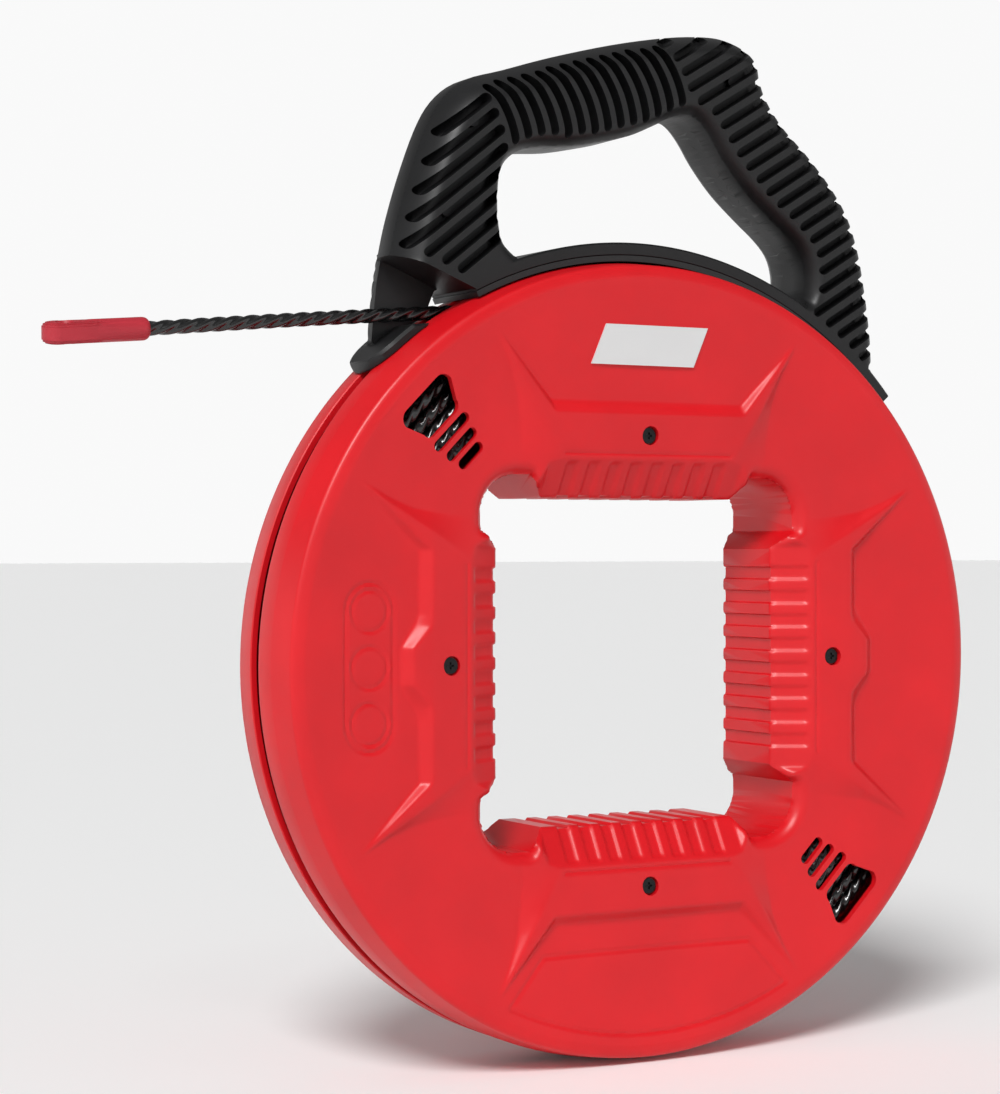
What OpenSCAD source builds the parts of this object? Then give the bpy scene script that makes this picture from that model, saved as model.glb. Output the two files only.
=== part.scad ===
// Hand-wound fish tape reel: a round two-shell case that turns in a fixed carrying handle.
// Frame: origin on the reel axis at the middle of the rim groove, axis along Y, front face towards -Y,
// +X to the right of the front view, +Z up. Millimetres.

/* [Case] */
// Outer radius of the case rim
case_r = 160; // [130:1:200]
// Depth of the front shell from the middle of the groove to its rim face
front_depth = 29.4; // [26:0.2:36]
// Depth of the back shell from the middle of the groove to its flat back
back_depth = 26; // [24:0.5:36]
// Wall of the moulded shells
shell_wall = 2.5; // [1.5:0.1:3]
// How far the face dips from the rim towards the middle
face_dip = 4.2; // [0:0.1:5]

/* [Hand opening] */
// Half width of the square opening at its corner pockets
pocket_half = 74; // [70:0.5:77]
// Radius of the pocket corners
pocket_corner_r = 16; // [10:0.5:20]
// Distance from the axis to the four winding grips
grip_half = 65; // [55:0.5:68]
// Half length of each grip
grip_half_len = 45; // [36:0.5:46]

/* [Raised panels] */
// Height of a raised panel over the face beside it
panel_rise = 3; // [2:0.1:4.2]
// Half width of a panel at its outer border
panel_half = 44.5; // [40:0.5:48]
// Distance from the axis to a panel's outer border
panel_out = 98.8; // [96:0.2:101]
// Distance from the axis to a panel's inner border
panel_in = 81.5; // [80:0.1:83]

/* [Windows] */
// Distance from the rim to the middle of the large window
window_in = 21.2; // [19:0.2:24]
// Width of the large window round the case
window_w = 28; // [20:0.5:32]
// Height of the large window outwards
window_h = 16; // [10:0.5:17]
// Width of each small slot
slot_w = 4.4; // [3:0.1:4.8]

/* [Case screws] */
// Radius of the circle of case screws
case_screw_circle_r = 90; // [88:0.2:92]
// Shank diameter of a case screw
case_screw_d = 4; // [3:0.1:5]
// Head diameter of a case screw
case_head_d = 6.2; // [5.5:0.1:7]
// Diameter of the recess round a case screw's head
case_recess_d = 7.6; // [7.4:0.1:9]

/* [Tape] */
// Diameter of the twisted tape
tape_d = 5.7; // [4:0.1:6]
// Thickness of the wound tape from its inside to its outside
coil_t = 38.5; // [20:0.5:39]
// Half width of the wound tape
coil_half_w = 21.5; // [15:0.5:22]
// How far inside the rim the line passes on which the tape leaves
lead_in_rim = 16; // [15:0.2:18]
// Fall of the tape outside the case
lead_angle = 4.8; // [3:0.1:6]
// Distance along the tape line from the point nearest the axis to the tip
lead_out = 191; // [150:1:230]
// Length of the stretch that stays inside the case, from the same point
lead_in = 58; // [56:0.5:62]

/* [Tip] */
// Length of the tip
tip_len = 41.5; // [36:0.5:50]
// Diameter of the tip's shank
tip_d = 8.8; // [8:0.1:10]
// Width of the tip's eye end
eye_w = 11; // [10:0.1:14]
// Thickness of the tip's eye end
eye_t = 8; // [6:0.1:9]
// Diameter of the eye
eye_d = 5; // [3:0.1:6]
// Roll of the eye end about the tape
eye_roll = 12; // [0:1:30]

/* [Handle] */
// Width of the handle along the reel axis
handle_w = 36.8; // [32:0.2:44]
// Thickness of the band that carries the handle on the rim
band_t = 5.2; // [4:0.1:8]
// Thickness of the rail under the band
rail_t = 2.4; // [1.5:0.1:4]
// Skin of the hollow handle halves
handle_skin = 3; // [2:0.1:4]
// Shank diameter of a handle screw
handle_screw_d = 4; // [3:0.1:5]
// Head diameter of a handle screw
handle_head_d = 7.5; // [6:0.1:8.5]

/* [Clearances] */
// Gap each side of the tape in the groove round the rim
groove_gap = 0.65; // [0.3:0.05:0.9]
// Gap between the wound tape and the inside of the rim
coil_gap = 7; // [6:0.1:9]
// Gap between the case rim and the rail or the guide shoe
rim_gap = 0.4; // [0.3:0.1:1]
// Gap between a screw's shank and its hole, all round
screw_gap = 0.05; // [0.03:0.01:0.1]
// Gap between a screw's head and its recess, all round
head_gap = 0.4; // [0.2:0.1:0.6]

/* [Hidden] */
$fn = 96;

red = [0.80, 0.08, 0.09];
black = [0.09, 0.09, 0.10];
half_groove = tape_d / 2 + groove_gap;

// ---------- points and outlines ----------

// A point at a radius and an angle round the reel axis
function polar(r, a) = [r * cos(a), r * sin(a)];

// Points along an arc round the reel axis
function arc(r, a0, a1, steps) = [for (i = [0 : steps]) polar(r, a0 + (a1 - a0) * i / steps)];

// A point of the smooth curve through four neighbours, t from 0 to 1 between the middle two
function smooth_point(p0, p1, p2, p3, t) =
    0.5 * (2 * p1 + (p2 - p0) * t + (2 * p0 - 5 * p1 + 4 * p2 - p3) * t * t
    + (3 * p1 - p0 - 3 * p2 + p3) * t * t * t);

// An open smooth curve through its points
function smooth(points, steps) = let (last = len(points) - 1) [
    for (i = [0 : last - 1]) for (k = [0 : steps - 1])
        smooth_point(points[max(i - 1, 0)], points[i], points[i + 1], points[min(i + 2, last)], k / steps),
    points[last]
];

// An outline that runs anticlockwise, moved inwards by d
function inset(points, d) = let (n = len(points)) [
    for (i = [0 : n - 1])
        let (
            before = points[i] - points[(i + n - 1) % n],
            after = points[(i + 1) % n] - points[i],
            side_a = [-before[1], before[0]] / norm(before),
            side_b = [-after[1], after[0]] / norm(after),
            way = side_a + side_b
        )
        points[i] + way * d * 2 / max(way * way, 0.5)
];

// Material between two depths along Y, its outline given in X and Z
module slab(y0, y1) {
    translate([0, y1, 0]) rotate([90, 0, 0]) linear_extrude(y1 - y0) children();
}

// A ring about the reel axis: the section is given as radius and depth towards the front
module front_ring() {
    rotate([90, 0, 0]) rotate_extrude($fn = 180) children();
}

// The same with depth towards the back
module back_ring() {
    rotate([-90, 0, 0]) rotate_extrude($fn = 180) children();
}

// A sector of a ring of rectangular section, between two radii, two depths along Y and two angles
module ring_sector(r0, r1, y0, y1, a0, a1) {
    translate([0, y1, 0]) rotate([90, 0, 0]) rotate([0, 0, a0])
        rotate_extrude(angle = a1 - a0, $fn = 180) translate([r0, 0]) square([r1 - r0, y1 - y0]);
}

// A round bar along Y
module bar_y(d, y0, y1) {
    translate([0, y1, 0]) rotate([90, 0, 0]) cylinder(d = d, h = y1 - y0);
}

// ---------- sizes that follow from the ones above ----------

face_r = case_r - 3.5;
dip_depth = front_depth - face_dip;
panel_top = dip_depth + panel_rise;
head_seat = panel_top - 3.2;
boss_d = case_screw_d + 6;
pocket_reach = (pocket_half - pocket_corner_r) * sqrt(2) + pocket_corner_r + shell_wall;
drum_r = max(case_screw_circle_r + boss_d / 2, pocket_reach) + 1.5;
drum_top = dip_depth - shell_wall - 0.5;
coil_out_r = case_r - shell_wall - coil_gap;
coil_in_r = coil_out_r - coil_t;
lead_h = case_r - lead_in_rim;
window_r = case_r - window_in;

// ---------- hand opening ----------

module rounded_square(half, r) {
    square([2 * (half - r), 2 * half], center = true);
    square([2 * half, 2 * (half - r)], center = true);
    for (x = [-1, 1]) for (z = [-1, 1]) translate([x, z] * (half - r)) circle(r);
}

// One winding grip seen along the axis, pushing into the opening; grow moves its sides outwards from it
module grip_outline(grow) {
    reach = pocket_half - grip_half;
    polygon([
        [-grip_half_len + grow, grip_half + grow], [grip_half_len - grow, grip_half + grow],
        [grip_half_len + reach * 0.8, pocket_half + 2 * reach],
        [-grip_half_len - reach * 0.8, pocket_half + 2 * reach]
    ]);
}

// The opening, or with grow the outside of the wall round it
module opening_outline(grow) {
    difference() {
        rounded_square(pocket_half + grow, pocket_corner_r + grow);
        for (k = [0 : 3]) rotate(90 * k) grip_outline(grow);
    }
}

// The wall round the opening between two depths
module opening_wall(y0, y1) {
    slab(y0, y1) difference() {
        opening_outline(shell_wall);
        opening_outline(0);
    }
}

// ---------- raised panels ----------

horn_tip = [70, 129];
bump_half = 7;
bump_rise = 8.2;
bump_start = 15.5;

// Outline of a panel over the face, its middle towards +Y; the side panels have a bump round their screw
module panel_outline(bump) {
    step = bump ? bump_rise : 0;
    polygon([
        [-57, panel_in - 4], [-60, 105], [-64, 117], -[horn_tip[0], -horn_tip[1]],
        [-panel_half, panel_out], [-bump_start, panel_out], [-bump_half, panel_out + step],
        [bump_half, panel_out + step], [bump_start, panel_out], [panel_half, panel_out],
        horn_tip, [64, 117], [60, 105], [57, panel_in - 4],
        [grip_half_len, grip_half + 3], [-grip_half_len, grip_half + 3]
    ]);
}

// A prism across a panel, its section given in Y and in the distance from the axis
module across_grip(half_len) {
    rotate([90, 0, 90]) translate([0, 0, -half_len]) linear_extrude(2 * half_len) children();
}

// The slope that runs from a panel down to its grip: its two edges as Y and distance from the axis
bevel_foot = [-20, grip_half + 1.4];
bevel_head = [1.4 - panel_top, panel_in - 1];
bevel_way = (bevel_head - bevel_foot) / norm(bevel_head - bevel_foot);
bevel_in = [bevel_way[1], -bevel_way[0]] * (shell_wall + 0.1);

// The space over the slope
module grip_bevel() {
    across_grip(grip_half_len + 1) polygon([
        [-panel_top - 1, bevel_head[1]], bevel_head, bevel_foot,
        [bevel_foot[0], grip_half - 6], [-panel_top - 1, grip_half - 6]
    ]);
}

// The wall under the slope
module grip_bevel_wall() {
    across_grip(grip_half_len + 1) polygon([
        [-panel_top, panel_in + 2], [-panel_top, panel_in - 3], [bevel_foot[0] - 1, grip_half],
        [bevel_foot[0] + 4, grip_half], [bevel_foot[0] + 4, grip_half + shell_wall],
        bevel_foot + bevel_in, bevel_head + bevel_in, [bevel_head[0] + bevel_in[0], panel_in + 2]
    ]);
}

// Shallow grip slots across the slope
module grip_slots() {
    middle = (bevel_head + bevel_foot) / 2;
    for (i = [-3.5 : 3.5]) translate([i * slot_pitch, middle[0], middle[1]])
        rotate([atan2(-bevel_way[0], bevel_way[1]), 0, 0]) cube([5, 2.4, 10.5], center = true);
}
slot_pitch = 9.9;

// ---------- windows ----------

module window_outline() {
    in_w = window_w * 0.72;
    hull() {
        for (s = [-1, 1]) {
            translate([s * (window_w / 2 - 3), window_h / 2 - 3]) circle(3, $fn = 32);
            translate([s * (in_w / 2 - 3), 3 - window_h / 2]) circle(3, $fn = 32);
        }
    }
}

slot_places = [[window_r - 12.1, 20], [window_r - 18.7, 17], [window_r - 24.7, 13.5]];

module windows() {
    for (a = [135, 315]) rotate([0, -a + 90, 0]) slab(-front_depth - 2, -coil_half_w - 0.5) {
        translate([0, window_r]) window_outline();
        for (s = slot_places) translate([0, s[0]]) {
            square([s[1] - slot_w, slot_w], center = true);
            for (e = [-1, 1]) translate([e * (s[1] - slot_w) / 2, 0]) circle(d = slot_w, $fn = 32);
        }
    }
}

// ---------- case ----------

module front_skin() {
    front_ring() polygon([
        [case_r, half_groove], [case_r, 19.5], [case_r - 1.6, front_depth - 1.6], [face_r, front_depth],
        [face_r - 8, front_depth - 0.2], [panel_out + 6, dip_depth], [grip_half - 3, dip_depth - 1.2],
        [grip_half - 3, dip_depth - 1.2 - shell_wall], [panel_out + 6, dip_depth - shell_wall],
        [face_r - 8, front_depth - 0.2 - shell_wall], [case_r - shell_wall - 1, front_depth - 4.5],
        [case_r - shell_wall, 19], [case_r - shell_wall, half_groove]
    ]);
}

module front_shell() {
    color(red) difference() {
        union() {
            difference() {
                union() {
                    front_skin();
                    for (k = [0 : 3]) rotate([0, 90 * k, 0]) {
                        slab(-panel_top, -dip_depth + shell_wall) panel_outline(k % 2 == 1);
                        grip_bevel_wall();
                    }
                    opening_wall(-dip_depth + 1.5, 0);
                }
                slab(-front_depth - 1, 1) opening_outline(0);
                for (k = [0 : 3]) rotate([0, 90 * k, 0]) grip_bevel();
            }
            for (k = [0 : 3]) rotate([0, 90 * k, 0]) translate([0, 0, case_screw_circle_r])
                bar_y(boss_d, -head_seat, 0);
        }
        for (k = [0 : 3]) rotate([0, 90 * k, 0]) {
            translate([0, 0, case_screw_circle_r]) {
                bar_y(case_screw_d + 2 * screw_gap, -head_seat - 1, 1);
                bar_y(case_recess_d, -front_depth, -head_seat);
            }
            grip_slots();
        }
        windows();
        badge_plate(0.15, -1, 0.1);
    }
}

module back_skin() {
    chamfer = back_depth - 14;
    back_ring() polygon([
        [case_r, half_groove], [case_r, 14], [case_r - chamfer, back_depth], [grip_half - 3, back_depth],
        [grip_half - 3, back_depth - shell_wall], [case_r - chamfer - 1, back_depth - shell_wall],
        [case_r - shell_wall, 14 - 1], [case_r - shell_wall, half_groove]
    ]);
}

module back_shell() {
    color(red) difference() {
        union() {
            difference() {
                back_skin();
                slab(0, back_depth + 1) opening_outline(0);
            }
            opening_wall(0, back_depth - shell_wall);
            // drum that keeps the wound tape clear of the screw posts
            back_ring() translate([drum_r, 0]) square([shell_wall, back_depth - shell_wall]);
            front_ring() translate([drum_r, 0]) square([shell_wall, drum_top]);
            for (k = [0 : 3]) rotate([0, 90 * k, 0]) translate([0, 0, case_screw_circle_r])
                bar_y(boss_d, 0, back_depth - shell_wall);
        }
        for (k = [0 : 3]) rotate([0, 90 * k, 0]) translate([0, 0, case_screw_circle_r])
            bar_y(case_screw_d + 2 * screw_gap, -1, case_screw_reach + 1);
        anchor_place() rotate([0, 90, 0]) cylinder(d = anchor_screw_d + 2 * screw_gap, h = 30, center = true);
    }
}

case_screw_reach = 18;

module case_screw(turn) {
    head_h = 1.7;
    color(black) rotate([0, turn, 0]) translate([0, 0, case_screw_circle_r]) difference() {
        union() {
            bar_y(case_head_d, -head_seat - head_h, -head_seat);
            bar_y(case_screw_d, -head_seat, case_screw_reach);
        }
        for (a = [0, 90]) rotate([0, a, 0]) translate([0, -head_seat - head_h, 0])
            cube([2.8, 1.6, 0.8], center = true);
    }
}
module case_screw_top() case_screw(0);
module case_screw_right() case_screw(90);
module case_screw_bottom() case_screw(180);
module case_screw_left() case_screw(270);

// A plain plate let into the top of the face, larger all round by side, by front and by back
badge_n = 126;
module badge_plate(side, front, back) {
    slope = (front_depth - 0.2 - dip_depth) / (face_r - 8 - panel_out - 6);
    translate([0, -dip_depth - (badge_n - panel_out - 6) * slope, badge_n]) rotate([atan(slope), 0, 0])
        slab(-0.8 + front, 1.2 + back) polygon([
            [-27 - side * 2, -8 - side], [21 + side, -8 - side],
            [27 + side * 2, 8 + side], [-21 - side, 8 + side]
        ]);
}
module blank_badge() {
    color([0.92, 0.92, 0.92]) badge_plate(0, 0, 0);
}

// ---------- tape ----------

// Wound tape, with a track round its outside for the stretch that is being drawn off
module tape_coil() {
    track_r = lead_h - tape_d / 2 - 0.65;
    track_half = tape_d / 2 + 2.2;
    color([0.05, 0.05, 0.06]) back_ring() polygon([
        [coil_in_r, -coil_half_w], [coil_out_r - 4, -coil_half_w], [coil_out_r, 4 - coil_half_w],
        [coil_out_r, -track_half], [track_r, -track_half], [track_r, track_half],
        [coil_out_r, track_half], [coil_out_r, coil_half_w - 4], [coil_out_r - 4, coil_half_w],
        [coil_in_r, coil_half_w]
    ]);
}

anchor_angle = -60;
anchor_screw_d = 3;
anchor_t = 5;
module anchor_place() {
    rotate([0, -anchor_angle, 0]) translate([drum_r + shell_wall, 0, 0]) children();
}

// Clamp block that holds the inner end of the tape against the drum
module tape_anchor() {
    color([0.62, 0.63, 0.65]) difference() {
        anchor_place() translate([anchor_t / 2 - 0.6, 0, 0]) cube([anchor_t + 1.2, 14, 18], center = true);
        rotate([90, 0, 0]) cylinder(r = drum_r + shell_wall, h = 40, center = true, $fn = 180);
        anchor_place() rotate([0, 90, 0])
            cylinder(d = anchor_screw_d + 2 * screw_gap, h = 30, center = true);
    }
}

module tape_anchor_screw() {
    color([0.62, 0.63, 0.65]) anchor_place() rotate([0, 90, 0]) {
        translate([0, 0, -4]) cylinder(d = anchor_screw_d, h = anchor_t + 4);
        translate([0, 0, anchor_t]) cylinder(d = 5.6, h = 1.8);
    }
}

// Places its children on the tape line, their +X pointing out of the case, s from the point nearest the axis
module on_tape_line(s) {
    rotate([0, -lead_angle, 0]) translate([-s, 0, lead_h]) rotate([0, 0, 180]) children();
}

// The stretch of tape outside the case and just inside it
module tape_leader() {
    color([0.05, 0.05, 0.06]) on_tape_line(lead_in) rotate([0, 90, 0])
        cylinder(d = tape_d, h = lead_out - lead_in + 12);
}

// The stretch of tape inside the case that comes off the wound tape
module tape_feed() {
    color([0.05, 0.05, 0.06]) on_tape_line(-feed_back) rotate([0, 90, 0])
        cylinder(d = tape_d, h = lead_in + feed_back);
}
feed_back = 20;

// Moulded tip: a round shank with a socket for the tape and a flat end with an eye
module tape_tip() {
    shank = tip_len - 21;
    color([0.72, 0.08, 0.12]) on_tape_line(lead_out) rotate([-eye_roll, 0, 0]) difference() {
        union() {
            rotate([0, 90, 0]) cylinder(d = tip_d, h = shank + 3);
            translate([shank, -eye_w / 2, -eye_t / 2]) cube([tip_len - shank - eye_w / 2, eye_w, eye_t]);
            translate([tip_len - eye_w / 2, 0, 0]) cylinder(d = eye_w, h = eye_t, center = true);
        }
        rotate([0, 90, 0]) translate([0, 0, -1]) cylinder(d = tape_d, h = 13);
        translate([tip_len - eye_w / 2 - 3, 0, 0]) cylinder(d = eye_d, h = eye_t + 2, center = true);
    }
}

// ---------- handle ----------

rail_r = case_r + rim_gap;
band_r = rail_r + rail_t;
band_out_r = band_r + band_t;
half_w = handle_w / 2;
band_a0 = 41;
// the band ends where the leaving tape rises past it
tape_clear = 1.55;
band_a1 = 90 + lead_angle + acos((lead_h + tape_d / 2 + tape_clear) / rail_r);
grow = case_r - 160;

// The outline of legs and grip from the guide on the left, over the top, to the foot on the right
outer_points = [
    [-105.5, 158.5], [-102.5, 172], [-97, 190], [-89.5, 209.5], [-82.3, 221.3], [-71.8, 229.5], [-55.3, 234.7],
    [-33.2, 241.7], [-5, 249.2], [20, 254.2], [38, 256.2], [48.7, 255.7], [57.6, 252.6], [63.2, 247],
    [65, 239.5], [68.5, 232], [76.5, 222.3], [88.4, 212], [100.4, 199.8], [109.4, 187.4], [115.4, 172.4],
    [119.2, 155], [121.8, 138], [122.6, 128], [122.8, 118.5]
];
// The hand gap from its lower left corner, over the top, to its lower right corner
gap_points = [
    [-55.5, 162], [-59, 165.5], [-60.4, 170], [-61.2, 177], [-61.2, 184], [-60.3, 192], [-57.3, 198],
    [-51, 202.3], [-42, 204.5], [-28, 205.8], [-14, 208.5], [0, 212], [12, 217.2], [21, 221.4], [28, 222.8],
    [33.4, 220.7], [39, 215], [45.8, 205.3], [55.9, 193.9], [68, 183.7], [77.9, 176], [84.2, 169.3],
    [86.7, 162], [86.8, 154], [85.5, 150]
];

// Moves a point of the handle outwards or inwards with the size of the case
function with_case(p) = p * (1 + grow / norm(p));

outer_curve = smooth([for (p = outer_points) with_case(p)], 3);
gap_curve = smooth([for (p = gap_points) with_case(p)], 3);

// The grip with its legs as one outline, anticlockwise, closed below the band
function grip_outline_points() = concat(
    [for (i = [len(outer_curve) - 1 : -1 : 0]) outer_curve[i]],
    arc(band_r - 8, 114, 46, 12)
);
// The hand gap, closed well below the band
function gap_outline_points() = concat(
    [for (i = [len(gap_curve) - 1 : -1 : 0]) gap_curve[i]],
    arc(band_r - 14, 110, 60, 8)
);

// The handle seen along the axis down to a radius, drawn in by d for its rounded edges
module handle_outline(d, r) {
    difference() {
        polygon(inset(grip_outline_points(), d));
        polygon(inset(gap_outline_points(), -d));
        circle(r, $fn = 180);
    }
}

// The hollows of a handle half, between its screw posts
hollow_points = [
    [[-89, 186], [-69, 186], [-68, 196], [-70, 204], [-80, 204]],
    [[-62, 212], [-28, 213], [-8, 217], [-2, 222], [-2, 240], [-33, 232], [-58, 223]],
    [[17, 228], [28, 230], [40, 226], [43, 231], [42, 246], [18, 245]],
    [[52, 211], [64, 198], [80, 187], [86, 195], [84, 204], [68, 217], [58, 227], [49, 228]],
    [[93, 179], [95, 168], [95, 156], [109, 157], [106, 171], [101, 180]]
];
module handle_hollows() {
    for (h = hollow_points) polygon([for (p = h) with_case(p)]);
}

handle_screw_places = [for (p = [[-84, 176], [-72, 212], [8, 231], [50, 238], [93, 188], [106, 148]]) with_case(p)];

// Depth and width of the step that stands for the rounded edges of the grip
edge_drop = 3;

// Material of the front half between the mid-plane and its outer face
module handle_half() {
    difference() {
        union() {
            slab(edge_drop - half_w, 0) handle_outline(0, band_r + 1);
            slab(-half_w, 2 * edge_drop - half_w) handle_outline(edge_drop, band_r + 2);
            ring_sector(band_r, band_out_r, -half_w, 0, band_a0, band_a1);
        }
        slab(handle_skin + 1.5 - half_w, 1) handle_hollows();
        ring_sector(band_r - 1, tenon_r, -tenon_half, 1, tenon_a0, tenon_a1);
    }
}

// The tenon of the rail that the two halves clamp
tenon_r = band_r + 3;
tenon_half = 2;
tenon_a0 = 46;
tenon_a1 = 112;

handle_seat = 11;

module handle_front() {
    color(black) difference() {
        handle_half();
        for (p = handle_screw_places) translate([p[0], 0, p[1]])
            bar_y(handle_screw_d + 2 * screw_gap, -half_w + 4.5, 1);
    }
}

// Guide under the left leg: a web behind the tape and a shoe that rides on the rim
web_front = 6.6;
shoe_front = -11;
shoe_out_r = rail_r + 3.2;
shoe_a0 = 121;
toe_r = (half_w - shoe_front) / 2;
toe_angle = 130.1;
web_points = [[-95, 172], [-103, 160], [-105, 149], [-106.2, 138.6], [-107.3, 126]];

module guide_web() {
    slab(web_front, half_w - 0.6) polygon(concat(
        [for (p = web_points) with_case(p)],
        arc(shoe_out_r - 0.5, 130.5, shoe_a0 + 0.5, 5),
        arc(band_out_r - 1, 118.5, 115.5, 4),
        [with_case([-72, 158])]
    ));
}

module guide_shoe() {
    ramp_h = lead_h - tape_d / 2 - tape_clear;
    middle = shoe_front + toe_r;
    intersection() {
        ring_sector(rail_r, shoe_out_r, shoe_front, half_w, shoe_a0, 137);
        // rounded end of the shoe
        rotate([0, -toe_angle, 0]) translate([100, middle, 0]) union() {
            rotate([0, 90, 0]) cylinder(r = toe_r, h = 100);
            translate([0, -toe_r - 1, -60]) cube([100, 2 * toe_r + 2, 60]);
        }
        // ramp under the tape
        rotate([0, -lead_angle, 0]) translate([-200, -50, 0]) cube([200, 100, ramp_h]);
    }
}

module handle_back() {
    color(black) difference() {
        union() {
            mirror([0, 1, 0]) handle_half();
            guide_web();
            guide_shoe();
        }
        for (p = handle_screw_places) translate([p[0], 0, p[1]]) {
            bar_y(handle_screw_d + 2 * screw_gap, -1, half_w + 1);
            bar_y(handle_head_d + 2 * head_gap, handle_seat, half_w + 1);
        }
    }
}

module handle_screw(i) {
    p = handle_screw_places[i];
    color(black) translate([p[0], 0, p[1]]) difference() {
        union() {
            bar_y(handle_screw_d, -half_w + 6, handle_seat);
            bar_y(handle_head_d, handle_seat, handle_seat + 2.6);
        }
        for (a = [0, 90]) rotate([0, a, 0]) translate([0, handle_seat + 2.6, 0])
            cube([3.6, 2.4, 1], center = true);
    }
}
module handle_screw_1() handle_screw(0);
module handle_screw_2() handle_screw(1);
module handle_screw_3() handle_screw(2);
module handle_screw_4() handle_screw(3);
module handle_screw_5() handle_screw(4);
module handle_screw_6() handle_screw(5);

// T-shaped rail: a tenon held by the handle, a band over the rim, a web in the groove and a foot inside
module slide_rail() {
    seat_gap = 0.05;
    web_half = half_groove - rim_gap;
    foot_top = case_r - shell_wall - rim_gap;
    foot_h = 2.4;
    inner_a1 = 110.5;
    color(black) {
        ring_sector(rail_r, band_r - seat_gap, -half_w, half_w, band_a0, band_a1);
        ring_sector(rail_r + 1, tenon_r, -tenon_half, tenon_half, tenon_a0, tenon_a1);
        ring_sector(foot_top - 1, rail_r + 1, -web_half, web_half, band_a0 + 2, inner_a1);
        ring_sector(foot_top - foot_h, foot_top, -web_half - 2.5, web_half + 2.5, band_a0 + 2, inner_a1);
    }
}

front_shell();
back_shell();
blank_badge();
case_screw_top();
case_screw_right();
case_screw_bottom();
case_screw_left();
tape_coil();
tape_anchor();
tape_anchor_screw();
tape_feed();
tape_leader();
tape_tip();
handle_front();
handle_back();
slide_rail();
handle_screw_1();
handle_screw_2();
handle_screw_3();
handle_screw_4();
handle_screw_5();
handle_screw_6();
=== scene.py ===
"""Looks of a hand-wound fish tape reel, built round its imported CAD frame.

Lengths are in millimetres until mesh() or MM turns them into metres.
"""

import math

import bmesh
import bpy
import numpy as np
from mathutils import Matrix, Vector


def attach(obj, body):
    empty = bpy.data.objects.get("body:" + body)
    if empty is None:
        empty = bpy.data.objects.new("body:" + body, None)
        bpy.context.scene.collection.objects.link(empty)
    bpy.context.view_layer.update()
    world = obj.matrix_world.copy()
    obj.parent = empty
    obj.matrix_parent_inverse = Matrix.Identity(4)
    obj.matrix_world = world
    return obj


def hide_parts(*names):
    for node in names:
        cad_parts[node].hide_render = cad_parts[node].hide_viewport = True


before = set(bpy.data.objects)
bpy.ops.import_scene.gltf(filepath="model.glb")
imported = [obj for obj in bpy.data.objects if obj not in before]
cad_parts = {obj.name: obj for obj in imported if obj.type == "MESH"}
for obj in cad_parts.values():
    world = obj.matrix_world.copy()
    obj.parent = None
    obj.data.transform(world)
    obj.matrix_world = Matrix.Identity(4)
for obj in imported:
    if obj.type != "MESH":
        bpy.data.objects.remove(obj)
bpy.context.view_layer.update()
MM = 0.001

# ---------- camera ----------

camera = bpy.data.objects.new("camera", bpy.data.cameras.new("camera"))
bpy.context.scene.collection.objects.link(camera)
bpy.context.scene.camera = camera
camera.location = (-0.5533, -0.8935, 0.0455)
camera.rotation_euler = Vector((0.4883, 0.8727, 0)).to_track_quat("-Z", "Y").to_euler()
camera.data.lens = 84.46
camera.data.clip_start = 0.01


# ---------- meshes ----------

def mesh(name, points, faces):
    """A new object from points in millimetres, its faces turned outwards."""
    data = bpy.data.meshes.new(name)
    data.from_pydata((np.asarray(points, float) * MM).tolist(), [], faces)
    solid = bmesh.new()
    solid.from_mesh(data)
    bmesh.ops.recalc_face_normals(solid, faces=solid.faces)
    solid.to_mesh(data)
    solid.free()
    obj = bpy.data.objects.new(name, data)
    bpy.context.scene.collection.objects.link(obj)
    return obj


def apply_modifiers(obj):
    """Bakes an object's modifiers into its mesh."""
    graph = bpy.context.evaluated_depsgraph_get()
    data = bpy.data.meshes.new_from_object(obj.evaluated_get(graph))
    obj.modifiers.clear()
    obj.data = data


def combine(obj, *tools, operation="DIFFERENCE"):
    """Cuts tools from obj, or joins or intersects it with them, and removes them."""
    for tool in tools:
        modifier = obj.modifiers.new("combine", "BOOLEAN")
        modifier.operation = operation
        modifier.solver = "MANIFOLD"
        modifier.object = tool
        apply_modifiers(obj)
        bpy.data.objects.remove(tool)
    return obj


def ring_faces(rings, n, closed=False):
    """Faces of a solid from rings of n points each, closed in a loop or capped at both ends."""
    sides = [
        (i * n + j, i * n + (j + 1) % n, (i + 1) % rings * n + (j + 1) % n, (i + 1) % rings * n + j)
        for i in range(rings if closed else rings - 1) for j in range(n)
    ]
    last = (rings - 1) * n
    return sides if closed else sides + [tuple(range(n)), tuple(range(last, last + n))]


def prism(outline, y0, y1):
    """A solid between two depths along Y, its outline given in X and Z."""
    points = [(x, y, z) for y in (y0, y1) for x, z in outline]
    return mesh("tool", points, ring_faces(2, len(outline)))


def lathe(section, a0=0.0, a1=360.0, step=1.5):
    """A solid of revolution about the reel axis, its closed section given as radius and Y."""
    whole = a1 - a0 >= 360
    count = round((a1 - a0) / step)
    angles = np.radians([a0 + (a1 - a0) * i / count for i in range(count + (not whole))])
    points = [(r * math.cos(a), y, r * math.sin(a)) for a in angles for r, y in section]
    return mesh("tool", points, ring_faces(len(angles), len(section), whole))


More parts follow.
